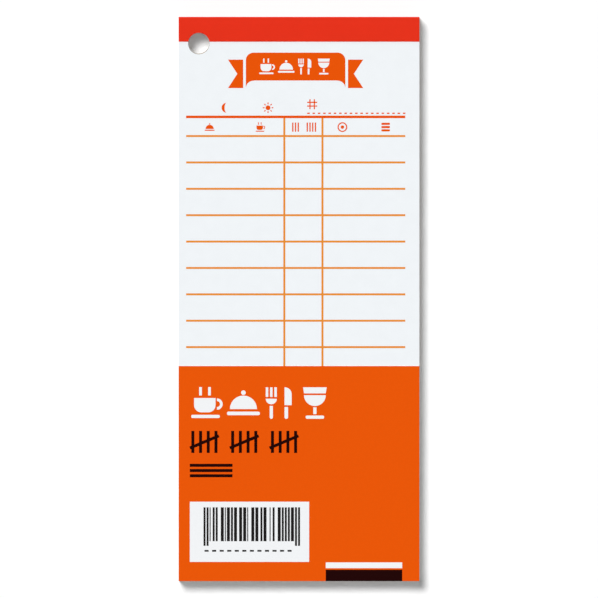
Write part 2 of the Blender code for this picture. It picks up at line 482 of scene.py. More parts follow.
def edge_finish(finish, linear):
    """Cut edges of stacked sheets: fine layers, uneven bands of them, and the knife's marks."""
    layers = finish.noise(0.14 * MM, stretch=(500.0, 500.0, 1.0), detail=4.0, roughness=0.7)
    bands = finish.fade(finish.noise(1.1 * MM, stretch=(250.0, 250.0, 1.0), detail=2.0), 0.35, 0.65)
    knife = finish.noise(0.5 * MM, stretch=(1.0, 1.0, 30.0))
    base = finish.shades(layers * 0.50 + bands * 0.30 + knife * 0.20, linear, dark=0.76, light=1.16)
    bump = finish.bump(layers, depth=0.03 * MM, strength=0.4)
    return finish.surface(base, roughness=knife * 0.1 + 0.85, normal=bump, specular=0.05)


def flood_finish(finish, linear):
    """A solid flood of ink on smooth paper: a faint mottle and a soft sheen."""
    mottle = finish.noise(0.9 * MM)
    grain = finish.noise(0.16 * MM, roughness=0.6)
    base = finish.shades(mottle * 0.6 + grain * 0.4, linear, dark=0.95, light=1.05)
    bump = finish.bump(grain, depth=0.008 * MM, strength=0.15)
    return finish.surface(base, roughness=mottle * 0.12 + 0.46, normal=bump, specular=0.02)


def ink_finish(finish, linear):
    """A layer of ink on paper: the fibres show through as a slight unevenness."""
    fibres = finish.noise(0.2 * MM, detail=4.0, roughness=0.65)
    base = finish.shades(fibres, linear, dark=0.94, light=1.06)
    bump = finish.bump(fibres, depth=0.006 * MM, strength=0.15)
    return finish.surface(base, roughness=fibres * 0.2 + 0.45, normal=bump, specular=0.02)


def printing_ink(name, linear):
    return material(name, ink_finish, linear)


def tape_finish(finish, linear, thread):
    """Binding cloth: a plain weave pressed flat and dyed through, followed over the head by y less z."""
    across = finish.axis("X") * (math.pi / thread)
    along = (finish.axis("Y") - finish.axis("Z")) * (math.pi / thread)
    weave = finish.sine(across) * finish.sine(along) * 0.5 + 0.5
    slub = finish.noise(0.5 * MM, stretch=(3.0, 1.0, 1.0))
    cloud = finish.noise(6.0 * MM, detail=2.0)
    base = finish.shades(weave * 0.25 + slub * 0.4 + cloud * 0.35, linear, dark=0.90, light=1.08)
    bump = finish.bump(weave * 0.7 + slub * 0.3, depth=0.03 * MM, strength=0.35)
    return finish.surface(base, roughness=slub * 0.15 + 0.58, normal=bump, specular=0.04)


def board_finish(finish, linear):
    """Grey chipboard: pressed waste paper with stray fibres and flecks."""
    pulp = finish.noise(1.6 * MM, detail=5.0, roughness=0.65)
    fibres = finish.noise(0.35 * MM, stretch=(1.0, 3.5, 1.0), detail=4.0, roughness=0.7)
    dark = finish.fade(finish.noise(0.9 * MM, stretch=(1.0, 1.8, 1.0), detail=2.0), 0.64, 0.70)
    pale = finish.fade(finish.noise(0.8 * MM, stretch=(2.2, 1.0, 1.0), detail=2.0), 0.65, 0.72)
    base = finish.shades(pulp * 0.5 + fibres * 0.5, linear, dark=0.72, light=1.26)
    base = finish.mix(dark * 0.35, base, tone(linear, 0.35))
    base = finish.mix(pale * 0.4, base, tone(linear, 1.7))
    bump = finish.bump(fibres + pulp, depth=0.05 * MM, strength=0.5)
    return finish.surface(base, roughness=fibres * 0.1 + 0.86, normal=bump, specular=0.15)


def glue_finish(finish, linear):
    """Padding compound: a milky skin with brush marks across the sheets."""
    brush = finish.noise(0.4 * MM, stretch=(1.0, 1.0, 6.0))
    cloud = finish.noise(2.5 * MM, detail=2.0)
    base = finish.shades(brush * 0.5 + cloud * 0.5, linear, dark=0.88, light=1.06)
    bump = finish.bump(brush, depth=0.03 * MM, strength=0.3)
    return finish.surface(base, roughness=brush * 0.2 + 0.3, normal=bump, specular=0.4)


def floor_finish(finish, linear, stage):
    """Pale studio floor, which keeps the shadow while the picture adds white to it.

    It is clear from below, and to light on its way up to a face that lies close on it.
    """
    white = {"Color": WHITE, "Strength": finish.seen() * stage.floor_lift}
    matt = finish.node("ShaderNodeBsdfDiffuse", sockets={"Color": tone(linear)})
    glow = finish.node("ShaderNodeEmission", sockets=white)
    top = finish.node("ShaderNodeAddShader", sockets={0: matt, 1: glow})
    close = finish.ray("Ray Length") < stage.floor_clear
    below = finish.node("ShaderNodeNewGeometry", output="Backfacing") + finish.ray("Is Diffuse Ray") * close
    clear = finish.node("ShaderNodeBsdfTransparent")
    both = finish.node("ShaderNodeMixShader", sockets={0: below, 1: top, 2: clear})
    finish.node("ShaderNodeOutputMaterial", sockets={"Surface": both})
    return finish.owner


# Modelling by hand


def rest_selection():
    """Object mode, with nothing selected."""
    if bpy.context.object and bpy.context.object.mode != "OBJECT":
        bpy.ops.object.mode_set(mode="OBJECT")
    bpy.ops.object.select_all(action="DESELECT")


def only(piece):
    """Object mode, with one piece selected and active."""
    rest_selection()
    piece.select_set(True)
    bpy.context.view_layer.objects.active = piece


@contextlib.contextmanager
def editing(piece):
    """Edit mode on one piece, with all of it selected."""
    only(piece)
    bpy.ops.object.mode_set(mode="EDIT")
    bpy.ops.mesh.select_all(action="SELECT")
    yield
    bpy.ops.object.mode_set(mode="OBJECT")


def pick(piece, test):
    """In edit mode, selects the points in sight that pass a test of their place, and no others."""
    mesh = bmesh.from_edit_mesh(piece.data)
    for point in mesh.verts:
        point.select = not point.hide and bool(test(point.co))
    mesh.select_flush_mode()
    bmesh.update_edit_mesh(piece.data)


def named(piece, name):
    piece.name = name
    piece.data.name = name
    return piece


def new_plane(name, low, high, height):
    """A flat face between two corners at a height, with its place in its mesh."""
    rest_selection()
    middle = ((low.x + high.x) / 2, (low.y + high.y) / 2, height)
    bpy.ops.mesh.primitive_plane_add(size=1.0, location=middle)
    piece = named(bpy.context.object, name)
    piece.scale = (high.x - low.x, high.y - low.y, 1.0)
    bpy.ops.object.transform_apply(location=True, rotation=True, scale=True)
    return piece


def apply_modifier(piece, kind, **settings):
    only(piece)
    modifier = piece.modifiers.new(kind.title(), kind)
    for key, value in settings.items():
        setattr(modifier, key, value)
    bpy.ops.object.modifier_apply(modifier=modifier.name)


def raise_faces(height):
    """In edit mode, pulls every flat face up into a closed slab."""
    bpy.ops.mesh.select_all(action="SELECT")
    bpy.ops.mesh.extrude_region_move(TRANSFORM_OT_translate={"value": (0.0, 0.0, height)})
    bpy.ops.mesh.select_all(action="SELECT")
    bpy.ops.mesh.normals_make_consistent(inside=False)


def slab(name, low, high, thickness):
    """A flat slab between two corners, from the height of the lower one."""
    piece = new_plane(name, low, high, low.z)
    with editing(piece):
        raise_faces(thickness)
    return piece


def punch_hole(piece, diameter, shift=(0.0, 0.0, 0.0)):
    """Punches the hanging hole through a piece, out of line by shift, and smooths its round wall."""
    rest_selection()
    bpy.ops.mesh.primitive_cylinder_add(
        vertices=HOLE_SIDES,
        radius=diameter / 2,
        depth=PUNCH_REACH,
        location=HOLE_CENTRE + Vector(shift),
    )
    punch = bpy.context.object
    apply_modifier(piece, "BOOLEAN", operation="DIFFERENCE", object=punch, solver="EXACT")
    bpy.data.meshes.remove(punch.data)
    only(piece)
    bpy.ops.object.shade_smooth_by_angle(angle=SMOOTH_ANGLE)


def copied(piece, name, shift):
    """Another piece of the same shape, with a mesh of its own moved by shift."""
    twin = piece.copy()
    twin.data = piece.data.copy()
    twin.data.transform(Matrix.Translation(shift))
    bpy.context.scene.collection.objects.link(twin)
    return named(twin, name)


def papered(piece, colours):
    """Gives a sheet its paper, and its cut edges theirs."""
    piece.data.materials.append(material("writing_paper", paper_finish, colours.paper))
    piece.data.materials.append(material("cut_edges", edge_finish, colours.edges))
    for face in piece.data.polygons:
        face.material_index = 0 if abs(face.normal.z) > FACE_SLOPE else 1


def join(piece, *others):
    """Makes other pieces part of a piece."""
    only(piece)
    for other in others:
        other.select_set(True)
    bpy.ops.object.join()


class SheetMap:
    """The map that a printed sheet's finishes are baked through, laid out in metres on a square.

    The sheet's face has a field at full size. Its back has another, drawn at a share of its size, which
    also takes the faces inside a stack. Each cut edge has a strip, drawn out across the sheet's thickness,
    with the hole's wall past the strips' ends. Each ink has a small field, which every shape of it fills.
    So no colour runs into another, however thin a face is.
    """

    def __init__(self, piece, hole, strip, back):
        mesh = piece.data
        sheet = [face for face in mesh.polygons if face.material_index < SHEET_FINISHES]
        points = [mesh.vertices[index].co for face in sheet for index in face.vertices]
        self.hole, self.strip, self.back = hole, strip, back
        self.low = Vector(min(axis) for axis in zip(*points))
        self.size = Vector(max(axis) for axis in zip(*points)) - self.low
        self.top = max(face.center.z for face in sheet) - MERGE
        self.back_left = self.size.x + 2 * MAP_GAP
        self.strips_left = self.back_left + self.size.x * back + MAP_GAP
        self.inks_left = self.strips_left + CUT_EDGES * (strip + MAP_GAP)
        side = max(self.inks_left + INK_FIELD + MAP_GAP, max(self.size) + hole + 3 * MAP_GAP)
        layer = mesh.uv_layers.active
        layer.name = BAKE_MAP
        for face in mesh.polygons:
            corners = [mesh.vertices[index].co for index in face.vertices]
            for loop, spot in zip(face.loop_indices, self.spots(face, corners)):
                layer.uv[loop].vector = spot / side

    def spots(self, face, corners):
        """Places of a face's corners on the map: level faces lie in x and y, and walls in z and x or y."""
        axes = FLAT
        if abs(face.normal.z) < FACE_SLOPE:
            axes = (Z, X) if abs(face.normal.y) > abs(face.normal.x) else (Z, Y)
        field = list(zip(axes, *self.field(face, axes, corners)))
        for point in corners:
            yield Vector([origin + (point[axis] - start) * scale for axis, origin, start, scale in field])

    def field(self, face, axes, corners):
        """A face's field: its origin, the place on the sheet that lies there, and its axes' scales."""
        ink = face.material_index - SHEET_FINISHES
        if ink >= 0:
            return self.ink_field(ink, axes, corners)
        starts = [self.low[axis] for axis in axes]
        if axes != FLAT:
            return self.edge_field(face, axes[1], starts)
        if face.normal.z > 0 and face.center.z > self.top:
            return (MAP_GAP, MAP_GAP), starts, (1.0, 1.0)
        return (self.back_left, MAP_GAP), starts, (self.back, self.back)

    def ink_field(self, ink, axes, corners):
        """The ink's field, which a level face of the ink fills. A wall fills its left end."""
        starts = [min(point[axis] for point in corners) for axis in axes]
        ends = [max(point[axis] for point in corners) for axis in axes]
        scales = [INK_FIELD / (end - start) for start, end in zip(starts, ends)]
        if axes != FLAT:
            scales[0] *= INK_WALL
        return (self.inks_left, MAP_GAP + ink * (INK_FIELD + MAP_GAP)), starts, scales

    def edge_field(self, face, run, starts):
        """The strip of the edge that runs along an axis and faces this way."""
        edge = 2 * run + (face.normal[1 - run] > 0)
        origin = [self.strips_left + edge * (self.strip + MAP_GAP), MAP_GAP]
        if (face.center - HOLE_CENTRE).xy.length < self.hole / 2 + MM:
            origin[1] += self.size[run] + MAP_GAP
            starts[1] = HOLE_CENTRE[run] - self.hole / 2
        return origin, starts, (self.strip / self.size.z, 1.0)


def settle(piece, body, slot, *nodes):
    """The piece takes its nodes' place and moves with their body."""
    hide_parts(*nodes)
    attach(piece, body)


class PrintPlate:
    """One ink of a print, drawn in edit mode as flat shapes and then raised to the ink's height.

    A plate is drawn in metres across and down the sheet, and a cell of it in shares of the cell's size
    from its middle.
    """

    def __init__(self, name, height):
        rest_selection()
        bpy.ops.mesh.primitive_plane_add(size=MM, location=(0.0, 0.0, 0.0))
        self.piece = named(bpy.context.object, name)
        self.origin = Vector((CAD_LOW.x, CAD_HIGH.y, height))
        self.unit = 1.0
        bpy.ops.object.mode_set(mode="EDIT")
        bpy.ops.mesh.delete(type="VERT")

    def cell(self, across, down, size):
        part = copy.copy(self)
        part.origin = self.spot(across, down)
        part.unit = self.unit * size
        return part

    def spot(self, across, down):
        return self.origin + Vector((across * self.unit, -down * self.unit, 0.0))

    def start(self):
        """Hides what is drawn, so that the next shape is alone in sight."""
        bpy.ops.mesh.select_all(action="SELECT")
        bpy.ops.mesh.hide()

    def bar(self, left, top, right, bottom):
        self.start()
        middle = self.spot((left + right) / 2, (top + bottom) / 2)
        size = ((right - left) * self.unit, (bottom - top) * self.unit, 1.0)
        bpy.ops.mesh.primitive_plane_add(size=1.0, location=middle)
        bpy.ops.transform.resize(value=size, center_override=middle)
        return middle

    def pick_towards(self, middle, *directions):
        pick(self.piece, lambda point: all((point - middle).dot(way) > 0 for way in directions))

    def rounded(self, left, top, right, bottom, radius, *directions):
        """A bar with its corners rounded: all of them, or those that lie in the given directions."""
        self.pick_towards(self.bar(left, top, right, bottom), *directions)
        bpy.ops.mesh.bevel(
            offset=radius * self.unit, affect="VERTICES", segments=ARC_STEPS, profile=ROUND_PROFILE
        )

    def flick(self, left, top, right, bottom, inward):
        """A corner turned down to a point, hollow on its inner side."""
        self.pick_towards(self.bar(left, top, right, bottom), inward, DOWN)
        bpy.ops.mesh.bevel(
            offset_type="PERCENT",
            offset_pct=FLICK_PERCENT,
            affect="VERTICES",
            segments=ARC_STEPS,
            profile=FLICK_PROFILE,
        )

    def tail(self, left, top, right, bottom, notch, outward):
        """A ribbon's end with a notch cut into it."""
        middle = self.bar(left, top, right, bottom)
        self.pick_towards(middle, outward)
        bpy.ops.mesh.subdivide(number_cuts=1)
        quarter = (bottom - top) * self.unit / 4
        pick(
            self.piece,
            lambda point: (point - middle).dot(outward) > 0 and abs(point.y - middle.y) < quarter,
        )
        bpy.ops.transform.translate(value=outward * (-notch * self.unit))

    def taper(self, left, top, right, bottom, foot):
        """A bar whose lower end is narrowed to a share of its width."""
        middle = self.bar(left, top, right, bottom)
        self.pick_towards(middle, DOWN)
        bpy.ops.transform.resize(value=(foot, 1.0, 1.0), center_override=middle)

    def disc(self, across, down, radius, half=None):
        """A disc, or the half of it that lies in a direction."""
        self.start()
        middle = self.spot(across, down)
        bpy.ops.mesh.primitive_circle_add(
            vertices=DISC_SIDES, radius=radius * self.unit, fill_type="NGON", location=middle
        )
        if half:
            bpy.ops.mesh.bisect(plane_co=middle, plane_no=half, clear_inner=True)
        return middle

    def ring(self, across, down, radius, width, half=None):
        """A ring, or the half of it that lies in a direction."""
        middle = self.disc(across, down, radius)
        bpy.ops.mesh.inset(thickness=width * self.unit, depth=0.0)
        bpy.ops.mesh.delete(type="FACE")
        if half:
            bpy.ops.mesh.select_all(action="SELECT")
            bpy.ops.mesh.bisect(plane_co=middle, plane_no=half, clear_inner=True)

    def crescent(self, across, down, radius, hollow):
        """A disc whose right side is turned inwards."""
        middle = self.disc(across, down, radius)
        self.pick_towards(middle, RIGHT)
        bpy.ops.transform.resize(value=(-hollow, 1.0, 1.0), center_override=middle)

    def stroke(self, begin, end, width):
        """A straight stroke between two places, with square ends."""
        self.start()
        first = self.spot(*begin)
        run = self.spot(*end) - first
        turn = math.atan2(run.y, run.x)
        bpy.ops.mesh.primitive_plane_add(size=width * self.unit, location=first, rotation=(0.0, 0.0, turn))
        self.pick_towards(first, run)
        bpy.ops.transform.translate(value=run)

    def printed(self, ink, finish):
        """Ends the drawing: the shapes get the ink's height and finish."""
        bpy.ops.mesh.reveal(select=True)
        raise_faces(ink)
        bpy.ops.object.mode_set(mode="OBJECT")
        self.piece.data.materials.append(finish)


@contextlib.contextmanager
def inking(name, face, paper, finish):
    """A plate on a face at a height, which is printed when its drawing ends."""
    plate = PrintPlate(name, face - paper.ink_sink)
    yield plate
    plate.printed(paper.ink + paper.ink_sink, finish)


# Marks, in shares of a cell from its middle


def draw_cup(cell):
    cell.rounded(-0.38, -0.14, 0.22, 0.26, 0.20, DOWN)
    cell.ring(across=0.26, down=0.03, radius=0.16, width=0.075, half=RIGHT)
    cell.rounded(-0.46, 0.33, 0.34, 0.42, 0.04)
    for across in (-0.20, 0.05):
        cell.stroke((across, -0.25), (across, -0.41), width=0.075)


def draw_dish(cell):
    cell.disc(across=0.0, down=0.17, radius=0.38, half=UP)
    cell.disc(across=0.0, down=-0.29, radius=0.065)
    cell.rounded(-0.46, 0.24, 0.46, 0.34, 0.045)


def draw_cutlery(cell):
    for across in (-0.34, -0.22, -0.10):
        cell.bar(across - 0.035, -0.44, across + 0.035, -0.17)
    cell.disc(across=-0.22, down=-0.12, radius=0.155, half=DOWN)
    cell.rounded(-0.265, 0.08, -0.175, 0.44, 0.04, DOWN)
    cell.rounded(0.15, -0.44, 0.35, 0.06, 0.19, UP, RIGHT)
    cell.rounded(0.15, 0.11, 0.25, 0.44, 0.04, DOWN)


def draw_glass(cell):
    cell.taper(-0.33, -0.44, 0.33, -0.27, foot=0.92)
    cell.disc(across=0.0, down=-0.22, radius=0.305, half=DOWN)
    cell.bar(-0.045, 0.12, 0.045, 0.31)
    cell.rounded(-0.26, 0.35, 0.26, 0.44, 0.04)


def draw_moon(cell):
    cell.crescent(across=0.08, down=0.0, radius=0.46, hollow=0.42)


def draw_sun(cell):
    rays, inner, outer = 8, 0.37, 0.43
    cell.disc(across=0.0, down=0.0, radius=0.22)
    for ray in range(rays):
        turn = ray * 2 * math.pi / rays
        across, down = math.cos(turn), math.sin(turn)
        cell.stroke((across * inner, down * inner), (across * outer, down * outer), width=0.10)


def draw_number(cell):
    """Two upright bars, crossed by two level ones that are drawn between and beside them."""
    for across in (-0.20, 0.20):
        cell.bar(across - 0.055, -0.46, across + 0.055, 0.46)
    for down in (-0.17, 0.17):
        for left, right in ((-0.46, -0.255), (-0.145, 0.145), (0.255, 0.46)):
            cell.bar(left, down - 0.055, right, down + 0.055)


def draw_tally(cell, strokes):
    pitch = 0.25
    first = -pitch * (strokes - 1) / 2
    for stroke in range(strokes):
        across = first + stroke * pitch
        cell.bar(across - 0.06, -0.42, across + 0.06, 0.42)


def draw_coin(cell):
    cell.ring(across=0.0, down=0.0, radius=0.45, width=0.11)
    cell.disc(across=0.0, down=0.0, radius=0.16)


def draw_coins(cell):
    for down in (-0.30, 0.0, 0.30):
        cell.rounded(-0.40, down - 0.10, 0.40, down + 0.10, 0.09)


ICONS = (draw_cup, draw_dish, draw_cutlery, draw_glass)


def draw_icons(plate, left, down, size, pitch):
    """The row of icons, the same on the ribbon and the slip."""
    for place, draw in enumerate(ICONS):
        draw(plate.cell(left + place * pitch, down, size))


def total_down(form):
    return form.first_row + form.rows * form.row_pitch


def draw_level(plate, form, down, width):
    plate.bar(form.left, down - width / 2, form.right, down + width / 2)


def draw_heavy_rules(plate, form):
    """The rules over the table and over its total."""
    for down in (form.heavy_down, total_down(form)):
        draw_level(plate, form, down, form.heavy_width)


def draw_light_rules(plate, form):
    """The rows' rules, and the upright ones drawn from each level rule to the next."""
    rows = [form.first_row + row * form.row_pitch for row in range(form.rows)]
    for down in rows + [total_down(form) + form.row_pitch]:
        draw_level(plate, form, down, form.light_width)
    stops = [(form.heavy_down, form.heavy_width)]
    stops += [(down, form.light_width) for down in rows]
    stops += [(total_down(form), form.heavy_width)]
    reach = form.column_width / 2
    for (down, width), (next_down, next_width) in zip(stops, stops[1:]):
        for column in (form.first_column, form.second_column):
            plate.bar(column - reach, down + width / 2, column + reach, next_down - next_width / 2)


def draw_headings(plate, form):
    """The dotted line and the small marks that head the form."""
    reach = form.dot_high / 2
    for dot in range(form.dots):
        left = form.dots_left + dot * form.dot_pitch
        plate.bar(left, form.dots_down - reach, left + form.dot_long, form.dots_down + reach)

    def cell(across, down=form.lower_marks):
        return plate.cell(across, down, form.mark)

    draw_moon(cell(form.moon, form.upper_marks))
    draw_sun(cell(form.sun, form.upper_marks))
    draw_number(cell(form.number, form.number_down))
    draw_dish(cell(form.dish))
    draw_cup(cell(form.cup))
    draw_tally(cell(form.few), strokes=3)
    draw_tally(cell(form.many), strokes=4)
    draw_coin(cell(form.coin))
    draw_coins(cell(form.coins))


def draw_ribbon(plate, ribbon):
    """A banner with round shoulders and turned-down corners, and a notched tail at each side."""
    left = ribbon.middle - ribbon.banner_width / 2
    right = ribbon.middle + ribbon.banner_width / 2
    foot = ribbon.banner_top + ribbon.banner_height
    plate.rounded(left, ribbon.banner_top, right, foot, ribbon.corner, UP)
    flick_foot = foot + ribbon.flick_drop
    plate.flick(left, foot, left + ribbon.flick_width, flick_foot, RIGHT)
    plate.flick(right - ribbon.flick_width, foot, right, flick_foot, LEFT)
    reach = ribbon.tail_gap + ribbon.tail_width
    tail_foot = ribbon.tail_top + ribbon.tail_height
    plate.tail(left - reach, ribbon.tail_top, left - ribbon.tail_gap, tail_foot, ribbon.notch, LEFT)
    plate.tail(right + ribbon.tail_gap, ribbon.tail_top, right + reach, tail_foot, ribbon.notch, RIGHT)


def draw_ribbon_icons(plate, ribbon):
    """The row of icons in the middle of the banner."""
    left = ribbon.middle - ribbon.icon_pitch * (len(ICONS) - 1) / 2
    down = ribbon.banner_top + ribbon.banner_height / 2
    draw_icons(plate, left, down, ribbon.icon, ribbon.icon_pitch)


def draw_pale_marks(plate, slip):
    """The slip's row of icons, its label and its pale stripe."""
    size = slip.title_icon
    draw_icons(plate, slip.margin + size / 2, slip.title_down, size, pitch=size)
    plate.bar(slip.margin, slip.label_top, slip.label_right, slip.label_bottom)
    plate.bar(slip.stripe_left, slip.pale_top, slip.stripe_right, slip.pale_bottom)


def tally_strokes(slip):
    """Left edges of the upright tally strokes, group by group."""
    for group in range(slip.tally_groups):
        left = slip.margin + slip.tally_stroke / 2 + group * slip.tally_group
        yield [left + stroke * slip.tally_pitch for stroke in range(TALLY_STROKES)]


def draw_dark_marks(plate, slip, foot):
    """The slip's upright tally strokes, its short lines, and its dark stripe, which runs to the foot."""
    tally_bottom = slip.tally_top + slip.tally_height
    for strokes in tally_strokes(slip):
        for left in strokes:
            plate.bar(left, slip.tally_top, left + slip.tally_stroke, tally_bottom)
    for line in range(slip.lines):
        top = slip.lines_top + line * slip.line_pitch
        plate.bar(slip.margin, top, slip.margin + slip.line_length, top + slip.line_width)
    plate.bar(slip.stripe_left, slip.dark_top, slip.stripe_right, foot)


def draw_slashes(plate, slip):
    """A slash through each group of tally strokes, over the middle half of their height."""
    quarter = slip.tally_height / 4
    for strokes in tally_strokes(slip):
        begin = (strokes[0], slip.tally_top + slip.tally_height - quarter)
        end = (strokes[-1] + slip.tally_stroke, slip.tally_top + quarter)
        plate.stroke(begin, end, slip.tally_stroke)


def draw_label_bars(plate, slip):
    """Made-up bars of uneven width between pairs of longer guard bars, and a row of ticks under them."""
    chance = random.Random(LABEL_SEED)
    unit = slip.bar_unit
    guard = 2 * unit
    pitch = guard + unit
    last_guard = slip.bars_right - guard
    for left in (slip.bars_left, slip.bars_left + pitch, last_guard - pitch, last_guard):
        plate.bar(left, slip.bars_top, left + guard, slip.guard_bottom)
    left = slip.bars_left + 2 * pitch
    while left < last_guard - 2 * pitch:
        right = left + unit * chance.choice(BAR_UNITS)
        plate.bar(left, slip.bars_top, right, slip.bars_bottom)
        left = right + unit * chance.choice(BAR_UNITS)
    reach = slip.tick_high / 2
    for tick in range(slip.ticks):
        left = slip.bars_left + unit + tick * slip.tick_pitch
        plate.bar(left, slip.ticks_down - reach, left + slip.tick_long, slip.ticks_down + reach)


# Operators


class PadOperator:
    """What the operators share"""

    bl_options = {"REGISTER"}

    def execute(self, context):
        self.model(context.scene.check_pad)
        return {"FINISHED"}


class CHECKPAD_OT_form_print(PadOperator, bpy.types.Operator):
    bl_idname = "check_pad.form_print"
    bl_label = "Form Print"

    def model(self, pad):
        paper, colours = pad.paper, pad.colours
        with inking("light_rules", PRINT_FACE, paper, printing_ink("rule_ink", colours.rule_ink)) as rules:
            draw_light_rules(rules, pad.form)
        with inking("form_print", PRINT_FACE, paper, printing_ink("form_ink", colours.form_ink)) as lines:
            draw_heavy_rules(lines, pad.form)
            draw_headings(lines, pad.form)
            draw_ribbon(lines, pad.ribbon)
        pale_ink = printing_ink("pale_ink", colours.slip_white)
        with inking("ribbon_icons", PRINT_FACE + paper.ink, paper, pale_ink) as icons:
            draw_ribbon_icons(icons, pad.ribbon)
        join(lines.piece, rules.piece, icons.piece)


def form_print():
    """The form's print, which has to be drawn first."""
    found = bpy.data.objects.get("form_print")
    if not found:
        raise RuntimeError("draw the form print before the sheets that carry it")
    return found


class CHECKPAD_OT_backing_board(PadOperator, bpy.types.Operator):
    """Cuts the chipboard back, softens its edges and punches it"""

    bl_idname = "check_pad.backing_board"
    bl_label = "Backing Board"

    def model(self, pad):
        paper = pad.paper
        low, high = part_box("backing_board")
        piece = slab("chipboard_back", low, high, high.z - low.z)
        with editing(piece):
            bpy.ops.mesh.bevel(offset=paper.board_edge, segments=BOARD_EDGE_STEPS, affect="EDGES")
        # The hole lies out of line so that a thin ring of dark board shows at the hole's lower right, as
        # painted shade for the shaded wall of the hole.
        punch_hole(piece, paper.hole, UP * paper.board_up + LEFT * paper.board_left)
        piece.data.materials.append(material("grey_chipboard", board_finish, pad.colours.board))
        settle(piece, "pad", "chipboard", "backing_board")


class CHECKPAD_OT_sheet_block(PadOperator, bpy.types.Operator):
    """Cuts one check of the lower block and stacks its copies, each a little out of line"""

    bl_idname = "check_pad.sheet_block"
    bl_label = "Sheet Block"

    def model(self, pad):
        paper = pad.paper
        low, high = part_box("sheet_block")
        pitch = (high.z - low.z) / paper.block_sheets
        piece = slab("stacked_checks", low, high, pitch * (1.0 - paper.air))
        punch_hole(piece, paper.hole)
        papered(piece, pad.colours)
        chance = random.Random(STACK_SEED)
        others = []
        for sheet in range(1, paper.block_sheets):
            aside = chance.uniform(-paper.stray, paper.stray)
            back = chance.uniform(-paper.stray, 0.0)
            others.append(copied(piece, f"stacked_check_{sheet}", Vector((aside, back, sheet * pitch))))
        top = Vector((0.0, 0.0, high.z - pitch * paper.air - PRINT_FACE))
        join(piece, *others, copied(form_print(), "block_print", top))
        SheetMap(piece, paper.hole, BLOCK_STRIP, HIDDEN_BACK)
        settle(piece, "pad", "check_paper", "sheet_block")


class CHECKPAD_OT_padding_glue(PadOperator, bpy.types.Operator):
    """Finishes the skin of padding compound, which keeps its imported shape"""

    bl_idname = "check_pad.padding_glue"
    bl_label = "Padding Glue"

    def model(self, pad):
        materials = frame["nodes"]["padding_glue"].data.materials
        materials.clear()
        materials.append(material("milky_glue", glue_finish, pad.colours.glue))


class CHECKPAD_OT_binding_tape(PadOperator, bpy.types.Operator):
    """Wraps the binding tape from the front over the head to the back, and punches it"""

    bl_idname = "check_pad.binding_tape"
    bl_label = "Binding Tape"

    def model(self, pad):
        paper = pad.paper
        low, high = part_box("binding_tape")
        radius = paper.tape_bend + paper.tape
        bend_y = high.y - radius
        piece = new_plane("wrapped_tape", low, Vector((high.x, bend_y, 0.0)), high.z - paper.tape)
        with editing(piece):
            pick(piece, lambda point: point.y > bend_y - MM)
            self.turn(bend_y, high.z - radius)
            self.run((0.0, 0.0, low.z - high.z + 2 * radius))
            self.turn(bend_y, low.z + radius)
            self.run((0.0, low.y - bend_y, 0.0))
            bpy.ops.mesh.select_all(action="SELECT")
            bpy.ops.mesh.remove_doubles(threshold=MERGE)
            bpy.ops.mesh.normals_make_consistent(inside=False)
        if max(piece.data.polygons, key=lambda face: face.center.z).normal.z < 0:
            raise RuntimeError("the tape's strip is inside out")
        apply_modifier(piece, "SOLIDIFY", thickness=paper.tape, offset=1.0, use_even_offset=True)
        punch_hole(piece, paper.hole)
        piece.data.materials.append(material("woven_tape", tape_finish, pad.colours.tape, paper.thread))
        settle(piece, "pad", "tape_cloth", "binding_tape")

    def turn(self, y, z):
        bpy.ops.mesh.spin(steps=BEND_STEPS, angle=math.pi / 2, center=(0.0, y, z), axis=RIGHT)

    def run(self, way):
        bpy.ops.mesh.extrude_region_move(TRANSFORM_OT_translate={"value": way})


class CHECKPAD_OT_checks(PadOperator, bpy.types.Operator):
    """Cuts and prints the top check, and lays its copies under it"""

    bl_idname = "check_pad.checks"
    bl_label = "Checks"

    def model(self, pad):
        paper = pad.paper
        low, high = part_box(CHECK_NODES[0])
        first = slab(f"printed_{CHECK_NODES[0]}", low, high, high.z - low.z)
        punch_hole(first, paper.hole)
        papered(first, pad.colours)
        join(first, copied(form_print(), "check_print", Vector()))
        SheetMap(first, paper.hole, SHEET_STRIP, FULL_BACK)
        chance = random.Random(STACK_SEED)
        for node in CHECK_NODES[1:]:
            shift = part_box(node)[0] - low
            shift.x += chance.uniform(-paper.stray, paper.stray)
            shift.y -= chance.uniform(0.0, paper.stray)
            settle(copied(first, f"printed_{node}", shift), node, "check_paper", node)
        settle(first, CHECK_NODES[0], "check_paper", CHECK_NODES[0])


class CHECKPAD_OT_cover(PadOperator, bpy.types.Operator):
    """Cuts and prints the cover sheet, with loops cut across it where the tape lets go of it"""

    bl_idname = "check_pad.cover"
    bl_label = "Cover"

    def model(self, pad):
        paper = pad.paper
        piece = slab("printed_cover", COVER_LOW, COVER_HEAD_HIGH, COVER_HIGH.z - COVER_LOW.z)
        with editing(piece):
            for cut in range(FOLD_CUTS + 1):
                y = FOLD_Y - paper.fold * cut / FOLD_CUTS
                bpy.ops.mesh.select_all(action="SELECT")
                bpy.ops.mesh.bisect(plane_co=(0.0, y, 0.0), plane_no=UP)
        punch_hole(piece, paper.hole)
        papered(piece, pad.colours)
        rise = Vector((0.0, 0.0, COVER_HIGH.z - PRINT_FACE))
        join(piece, copied(form_print(), "cover_print", rise))
        SheetMap(piece, paper.hole, SHEET_STRIP, FULL_BACK)
        bpy.data.meshes.remove(form_print().data)
        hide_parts("cover_head", "cover_leaf")
        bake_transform(piece)


